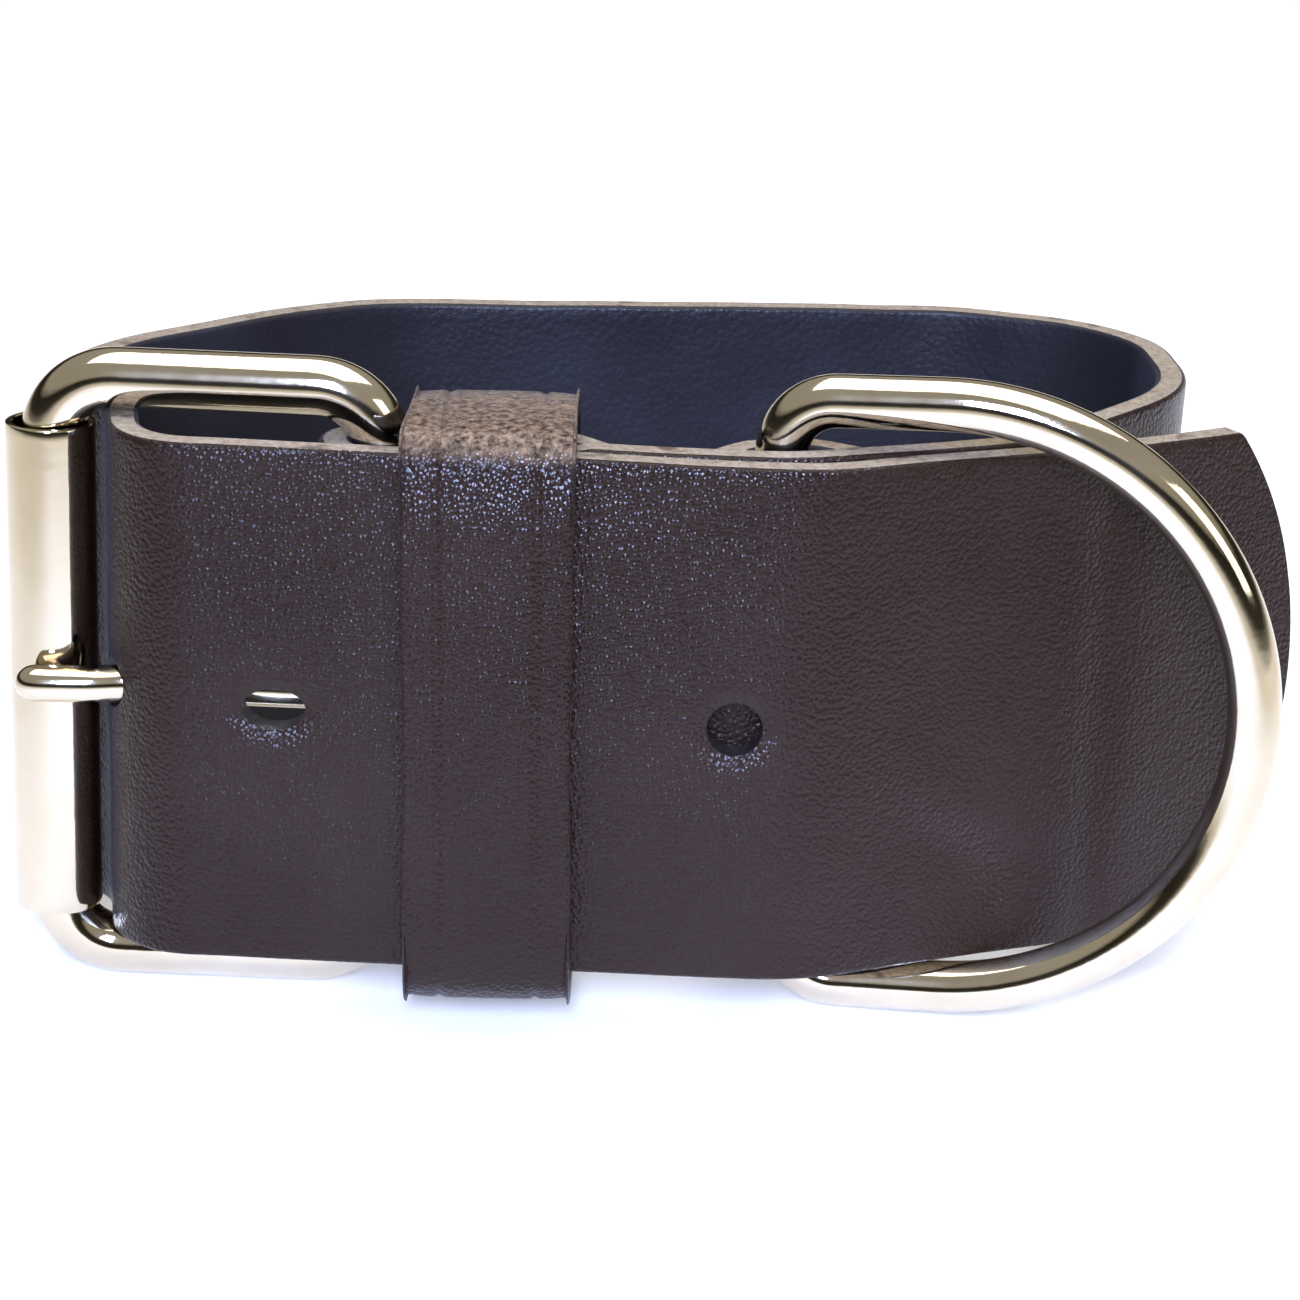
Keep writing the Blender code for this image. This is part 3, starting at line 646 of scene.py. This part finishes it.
def strapCutters():
    mesh = bmesh.new()
    for index, x in enumerate(strap["holes"]):
        punch(mesh, strap["wornLength"] if index == 0 else strap["holeWidth"],
              strap["wornHeight"] if index == 0 else strap["holeWidth"],
              wall + 2 * gap, (x, billetMiddle, middleHeight), 0.0)
    raised = middleHeight + buckle["prongHeight"]
    holeRun = strap["kneeBend"] + 2 * wall
    punch(mesh, strap["holeWidth"], strap["holeWidth"], holeRun,
          (rollerX + buckle["rollerDiameter"] / 2 + holeRun / 2,
           prongDepth + (strap["holeWidth"] - buckle["prongWire"]) / 2 - gap, raised), math.pi / 2)
    slot = buckle["prongWire"] / 2 + buckle["slotPlay"]
    low = Vector((heelX - 2 * buckle["slotLength"], wall + gap / 2, raised - slot))
    high = Vector((heelX + buckle["slotLength"], foldMiddle + wall, raised + slot))
    bmesh.ops.create_cube(mesh, size=1.0, matrix=toWorld @ Matrix.Translation((low + high) / 2)
                          @ Matrix.Diagonal((*(high - low), 1.0)))
    outer = standMiddle - wall / 2
    stationsAt = ((onFront(ringX - strap["rivetBefore"], outer), 0.0),
                  (onTab(strap["rivetAfter"], outer), slope))
    for point, angle in stationsAt:
        for side in (-1, 1):
            level = middleHeight + side * strap["rivetSpread"] / 2
            head = rivet["head"] + 2 * gap
            depth = rivet["headHeight"] + 2 * gap
            inward = Vector((-math.sin(angle), math.cos(angle)))
            seat = point + inward * (depth / 2 - gap)
            punch(mesh, head, head, depth, (seat.x, seat.y, level), angle, 32)
            shank = point + inward * (1.5 * wall + 0.4)
            punch(mesh, rivet["shank"] + 2 * gap, rivet["shank"] + 2 * gap, 3 * wall + 0.8,
                  (shank.x, shank.y, level), angle, 32)
    for face in mesh.faces:
        face.material_index = 3
    data = bpy.data.meshes.new("strapCutters")
    mesh.to_mesh(data)
    mesh.free()
    for material in leathers:
        data.materials.append(material)
    thing = bpy.data.objects.new("strapCutters", data)
    bpy.context.scene.collection.objects.link(thing)
    return thing


cutWith(strapFine, strapCutters())
smoothShade(strapFine)
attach(strapFine, "collar")
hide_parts("strap")
print("strap made", len(strapFine.data.polygons))


# Keeper

keeperFront = -gap - keeperLoop["wall"] / 2
keeperBack = foldMiddle + wall / 2 + gap + keeperLoop["wall"] / 2
keeperLow = -keeperLoop["lowPlay"] - keeperLoop["wall"] / 2
keeperHigh = strap["width"] + keeperLoop["topPlay"] + keeperLoop["wall"] / 2
keeperHalf = Vector((keeperBack - keeperFront, keeperHigh - keeperLow)) / 2
keeperTrack = Track(roundedRectangle(keeperHalf, keeperLoop["corner"], 6.0), closed=True, soften=10)
keeperBends = []
for deep, high in ((-1, -1), (-1, 1), (1, 1), (1, -1)):
    corner = np.array((deep * keeperHalf.x, high * keeperHalf.y))
    keeperBends.append(float(keeperTrack.runs[np.argmin(np.hypot(*(keeperTrack.even - corner).T))]))


def keeperShape(runs, across, outward):
    outer = outward > keeperLoop["wall"] / 2 - 0.01
    half = keeperLoop["width"] / 2
    groove = keeperLoop["grooveDepth"] * np.exp(
        -((np.abs(across) - keeperLoop["grooveAt"]) / keeperLoop["grooveWidth"]) ** 2)
    crown = 0.10 * (1.0 - (across / half) ** 2)
    edgeFall = 0.16 * np.clip((np.abs(across) - keeperLoop["grooveAt"]) / 3.0, 0.0, 1.0) ** 2
    outward = outward - np.where(outer, groove + edgeFall - crown, 0.0)
    for bend in keeperBends:
        along = np.abs(runs - bend)
        eased = np.clip(1.0 - along / keeperLoop["bendReach"], 0.0, 1.0) ** 2
        outward = outward - np.where(outer, keeperLoop["bendThin"] * eased, 0.0)
    turn = 2 * math.pi / keeperTrack.length
    sideways = 0.10 * (np.sin(3 * turn * runs) + 0.5 * np.sin(7 * turn * runs + 1.0)) * across / half
    return runs, across + sideways, outward


keeperStations = list(np.linspace(0.0, keeperTrack.length, 221)[:-1])
keeperFaceHalf = keeperLoop["width"] / 2 - 0.35
keeperProfile = wallProfile(keeperLoop["width"], keeperLoop["wall"], 0.35,
                            list(np.linspace(-keeperFaceHalf, keeperFaceHalf, 64)))
upright = Matrix(((0, 0, 1, 0), (1, 0, 0, 0), (0, 1, 0, 0), (0, 0, 0, 1)))
keeperPlace = (toWorld @ Matrix.Translation((keeperX, (keeperFront + keeperBack) / 2,
                                             (keeperLow + keeperHigh) / 2))
               @ Matrix.Rotation(math.radians(-keeperLoop["tilt"]), 4, "Y") @ upright)
keeperFine = leatherWall("keeperFine", keeperTrack, keeperStations, keeperProfile, True, keeperLeathers,
                         keeperPlace, keeperShape)
smoothShade(keeperFine, 50.0)
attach(keeperFine, "collar")
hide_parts("keeper")
print("keeper made")


# Buckle

frameHalf = Vector((buckle["pitch"], buckle["innerHeight"] + buckle["wire"])) / 2
framePlan = roundedRectangle(frameHalf, buckle["corner"], 4.0)
frameTrack = Track(framePlan, closed=True, soften=6)
framePoints, _ = frameTrack.at(np.linspace(0.0, frameTrack.length, 301)[:-1])
framePlace = toWorld @ Matrix.Translation((rollerX + buckle["pitch"] / 2, heelDepth, middleHeight))
frameFine = tube("frameFine", [(x, 0.0, z) for x, z in framePoints], [buckle["wire"] / 2] * 300,
                 True, nickel, framePlace, 36)
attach(frameFine, "collar")
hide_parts("buckle_frame")

rollerPlace = toWorld @ Matrix.Translation((rollerX, heelDepth, middleHeight))
rollerOuter = buckle["rollerDiameter"] / 2
rollerBore = buckle["rollerBore"] / 2
rollerHalf = buckle["rollerLength"] / 2
rollerProfile = [(rollerBore, rollerHalf - 0.1), (rollerBore + 0.1, rollerHalf),
                 (rollerOuter - 0.22, rollerHalf), (rollerOuter - 0.06, rollerHalf - 0.08),
                 (rollerOuter, rollerHalf - 0.26), (rollerOuter, rollerHalf - 1.0)]
rollerProfile += [(rollerOuter, level) for level in np.linspace(rollerHalf - 4, 4 - rollerHalf, 9)]
rollerProfile += [(radius, -level) for radius, level in reversed(rollerProfile[:6])]
rollerProfile += [rollerProfile[0]]
rollerFine = turned("rollerFine", rollerProfile, nickel, rollerPlace, 72)
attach(rollerFine, "roller")
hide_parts("buckle_roller")


def prongLine():
    wrap = buckle["wire"] / 2 + gap + buckle["prongWire"] / 2
    restDepth = heelDepth - rollerOuter - gap - buckle["prongWire"] / 2
    side = rollerX + rollerOuter
    points = []
    for index in range(17):
        angle = math.radians(150.0 - 240.0 * index / 16)
        points.append((heelX + wrap * math.cos(angle), heelDepth + wrap * math.sin(angle)))
    rise = restDepth - prongDepth
    points += [(side + 2 * wall, prongDepth), (side + wall, prongDepth + 0.2 * rise),
               (side, prongDepth + 0.8 * rise), (rollerX, restDepth),
               (rollerX - buckle["prongOverhang"], restDepth)]
    return Track([Vector(point) for point in points], soften=20)


prongTrack = prongLine()
prongRuns = np.linspace(0.0, prongTrack.length, 150)
left = (prongTrack.length - prongRuns) / buckle["prongOverhang"]
prongRadii = buckle["prongWire"] / 2 * np.sqrt(np.clip(1 - (1 - np.clip(left, 0.0, 1.0)) ** 2.6, 0.03, 1))
prongPoints, _ = prongTrack.at(prongRuns)
prongPlace = toWorld @ Matrix.Translation((0.0, 0.0, middleHeight + buckle["prongHeight"]))
prongFine = tube("prongFine", [(x, y, 0.0) for x, y in prongPoints], list(prongRadii), False, nickel,
                 prongPlace)
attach(prongFine, "collar")
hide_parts("buckle_prong")
print("buckle made")


# D-ring

ringHalf = (ring["innerHeight"] + ring["wire"]) / 2
ringCentre = ring["reach"] - ringHalf


def ringPlan():
    bow = []
    for index in range(61):
        turn = math.pi / 2 - math.pi * index / 60
        bow.append(Vector((ringCentre + ringHalf * math.cos(turn), ringHalf * math.sin(turn))))
    start = Vector((0.0, 0.0))
    upper = roundedPath([(start, 0.0), (Vector((0.0, ringHalf)), ring["corner"]), (bow[0], 0.0)])[1:-1]
    lower = roundedPath([(bow[-1], 0.0), (Vector((0.0, -ringHalf)), ring["corner"]), (start, 0.0)])[1:-1]
    return [start] + upper + bow + lower


ringTrack = Track(ringPlan(), closed=True, soften=6)
ringPoints, _ = ringTrack.at(np.linspace(0.0, ringTrack.length, 361)[:-1])
ringPlace = (toWorld @ Matrix.Translation((ringX, ringDepth, middleHeight + ring["rise"]))
             @ Matrix.Rotation(math.radians(-ring["tilt"]), 4, "Y")
             @ Matrix.Rotation(math.radians(-ring["restAngle"]), 4, "Z"))
ringFine = tube("ringFine", [(x, 0.0, z) for x, z in ringPoints], [ring["wire"] / 2] * 360, True,
                nickel, ringPlace, 36)
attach(ringFine, "ring")
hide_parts("d_ring")
print("ring made")


# Rivets

rivetNodes = ("rivet_left_low", "rivet_left_high", "rivet_right_low", "rivet_right_high")
for node in rivetNodes:
    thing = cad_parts[node]
    for slot in thing.material_slots:
        slot.material = steel
print("rivets dressed")


# Studio


def areaLight(name, place, target, width, height, power, colour, spread=180.0):
    data = bpy.data.lights.new(name, "AREA")
    data.shape = "RECTANGLE"
    data.size = width
    data.size_y = height
    data.energy = power
    data.color = colour
    data.spread = math.radians(spread)
    thing = bpy.data.objects.new(name, data)
    thing.location = place
    thing.rotation_euler = (Vector(target) - Vector(place)).to_track_quat("-Z", "Y").to_euler()
    bpy.context.scene.collection.objects.link(thing)
    return thing


studio = {"floorTone": (0.86, 0.85, 0.84), "floorSize": 6.0}
floor = makeObject("floor", [(x * studio["floorSize"], y * studio["floorSize"], 0.0)
                             for x, y in ((-1, -1), (1, -1), (1, 1), (-1, 1))], [(0, 1, 2, 3)], [])
paper, paperNodes, paperLinks, paperShader = newMaterial("paleFloor")
paperShader.inputs["Base Color"].default_value = (*studio["floorTone"], 1.0)
paperShader.inputs["Roughness"].default_value = 0.9
paperShader.inputs["Emission Color"].default_value = (1.0, 0.99, 0.97, 1.0)
paperShader.inputs["Emission Strength"].default_value = 0.20
floor.data.materials.append(paper)

world = bpy.data.worlds.new("studioWorld")
bpy.context.scene.world = world
world.use_nodes = True
skyNodes = world.node_tree.nodes
skyLinks = world.node_tree.links
skyPlace = skyNodes.new("ShaderNodeTexCoord")
skySplit = skyNodes.new("ShaderNodeSeparateXYZ")
skyLinks.new(skyPlace.outputs["Generated"], skySplit.inputs["Vector"])
skyRamp = ramp(skyNodes, [(0.0, (0.70, 0.68, 0.62)), (0.08, (0.10, 0.09, 0.07)),
                          (0.28, (0.05, 0.045, 0.03)), (0.42, (1.0, 0.93, 0.78)), (1.0, (1.0, 0.97, 0.9))])
skyLinks.new(skySplit.outputs["Z"], skyRamp.inputs["Fac"])
skyLinks.new(skyRamp.outputs["Color"], skyNodes["Background"].inputs["Color"])
skyNodes["Background"].inputs["Strength"].default_value = 0.38

areaLight("keySoftbox", (-0.02, -0.52, 0.36), (0.0, -0.02, 0.03), 0.11, 0.22, 0.75, (0.50, 0.62, 1.0), 50.0)
areaLight("topSoftbox", (0.05, 0.10, 0.85), (0.0, 0.0, 0.0), 0.9, 0.9, 6.0, (1.0, 0.98, 0.95))
areaLight("rightSoftbox", (0.60, -0.25, 0.35), (0.0, 0.0, 0.03), 0.35, 0.35, 0.8, (1.0, 0.96, 0.9))

bpy.context.scene.view_settings.view_transform = "Standard"
bpy.context.scene.view_settings.look = "None"

view = {"elevation": 19.0, "distance": 315.0, "target": (2.5, 20.4, 25.5), "roll": 2.5, "lens": 89.31}


def makeCamera():
    data = bpy.data.cameras.new("camera")
    data.sensor_fit = "HORIZONTAL"
    data.sensor_width = 36.0
    data.lens = view["lens"]
    data.clip_start = 0.01
    data.clip_end = 50.0
    tilt = math.radians(view["elevation"])
    roll = math.radians(view["roll"])
    ahead = Vector((0.0, math.cos(tilt), -math.sin(tilt)))
    level = Vector((1.0, 0.0, 0.0))
    rise = Vector((0.0, math.sin(tilt), math.cos(tilt)))
    right = level * math.cos(roll) + rise * math.sin(roll)
    up = rise * math.cos(roll) - level * math.sin(roll)
    spot = Vector(view["target"]) - ahead * view["distance"]
    thing = bpy.data.objects.new("camera", data)
    bpy.context.scene.collection.objects.link(thing)
    turn = Matrix((right, up, -ahead)).transposed().to_4x4()
    thing.matrix_world = collarPlace @ Matrix.Translation(spot * mm) @ turn
    bpy.context.scene.camera = thing


makeCamera()
print("studio made")
